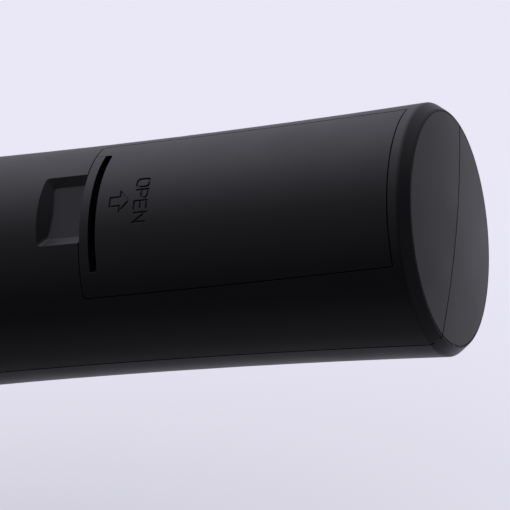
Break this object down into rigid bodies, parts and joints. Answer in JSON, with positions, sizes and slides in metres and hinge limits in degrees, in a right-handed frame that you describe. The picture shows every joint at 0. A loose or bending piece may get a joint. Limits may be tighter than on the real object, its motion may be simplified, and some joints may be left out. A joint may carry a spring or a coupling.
{
  "type": "handheld wireless microphone transmitter",
  "caption": "Handheld wireless microphone transmitter: waisted round handle of two half shells, curved hinged battery door with latch strip, ball grille.",
  "frame": {"origin": "on the handle's axis, half way along the whole object, which is the centre of its box", "axes": "+X along the handle's axis towards the tail, +Z out of the middle of the battery door"},
  "size_m": [0.24, 0.055, 0.055],
  "materials": {
    "shell_plastic": "fine spark-eroded texture",
    "door_plastic": "fine spark-eroded texture",
    "inner_plastic": "moulded",
    "control_plastic": "satin",
    "header_plastic": "moulded",
    "board_laminate": "solder mask",
    "chip_plastic": "moulded",
    "screw_steel": "zinc plated",
    "spring_steel": "nickel plated",
    "shield_tin": "tinned",
    "contact_brass": "nickel plated",
    "cell_jacket": "printed jacket",
    "display_glass": "liquid crystal cell",
    "window_plastic": "tinted clear",
    "light_plastic": "clear tinted",
    "collar_aluminium": "black anodised",
    "rubber": "matt",
    "grille_steel": "black lacquer",
    "band_steel": "black lacquer",
    "foam": "open cell foam",
    "capsule_metal": "turned",
    "lead_wire": "insulated"
  },
  "bodies": {
    "handset": {"front_shell": "shell_plastic", "rear_shell": "shell_plastic", "shell_screws": "screw_steel", "battery_tray": "inner_plastic", "tray_screws": "screw_steel", "battery_cell_a": "cell_jacket", "battery_cell_b": "cell_jacket", "link_plate": "contact_brass", "link_spring": "spring_steel", "positive_plate": "contact_brass", "negative_plate": "contact_brass", "negative_spring": "spring_steel", "main_board": "board_laminate", "board_screws": "screw_steel", "rf_shield_can": "shield_tin", "board_chips": "chip_plastic", "board_header": "header_plastic", "antenna_carrier": "inner_plastic", "antenna_strip": "contact_brass", "control_board": "board_laminate", "control_board_screws": "screw_steel", "display_module": "display_glass", "display_window": "window_plastic", "mute_switch_housing": "header_plastic", "power_switch_housing": "header_plastic", "set_switch_housing": "header_plastic", "status_led": "light_plastic", "status_light_pipe": "light_plastic", "head_collar": "collar_aluminium", "anti_roll_ring": "rubber", "capsule_carrier": "inner_plastic", "shock_mount": "rubber", "capsule_body": "capsule_metal", "capsule_cap": "capsule_metal", "capsule_leads": "lead_wire"},
    "battery_door": {"battery_door": "door_plastic", "door_foam_pad": "foam"},
    "door_latch": {"door_latch": "door_plastic"},
    "mute_slider": {"mute_slider": "control_plastic", "mute_switch_lever": "control_plastic"},
    "power_button": {"power_button": "control_plastic", "power_switch_plunger": "control_plastic"},
    "set_button": {"set_button": "control_plastic", "set_switch_plunger": "control_plastic"},
    "grille_gasket": {"grille_gasket": "rubber"},
    "grille": {"grille_ring": "collar_aluminium", "lower_mesh": "grille_steel", "grille_band": "band_steel", "upper_mesh": "grille_steel", "foam_liner": "foam"}
  },
  "joints": [
    {"name": "door_hinge", "type": "hinge", "parent": "handset", "child": "battery_door", "pos_m": [0.11517, 0, 0.02292], "axis": [0, 1, 0], "range_deg": [0, 75]},
    {"name": "latch_press", "type": "slide", "parent": "battery_door", "child": "door_latch", "axis": [1, 0, 0], "range_m": [0, 0.001], "stiffness_N_per_m": 1500},
    {"name": "mute_slide", "type": "slide", "parent": "handset", "child": "mute_slider", "axis": [-1, 0, 0], "range_m": [0, 0.004]},
    {"name": "power_press", "type": "slide", "parent": "handset", "child": "power_button", "axis": [0, 0, -1], "range_m": [0, 0.0006], "stiffness_N_per_m": 2500},
    {"name": "set_press", "type": "slide", "parent": "handset", "child": "set_button", "axis": [0, 0, -1], "range_m": [0, 0.0006], "stiffness_N_per_m": 2500},
    {"name": "grille_lift", "type": "slide", "parent": "handset", "child": "grille_gasket", "axis": [-1, 0, 0], "range_m": [0, 0.006]},
    {"name": "grille_turn", "type": "hinge", "parent": "grille_gasket", "child": "grille", "pos_m": [-0.06697, 0, 0], "axis": [-1, 0, 0], "range_deg": [0, 1440]}
  ],
  "couplings": [
    {"joint": "grille_lift", "follows": "grille_turn", "m_per_rad": 0.00023873}
  ]
}
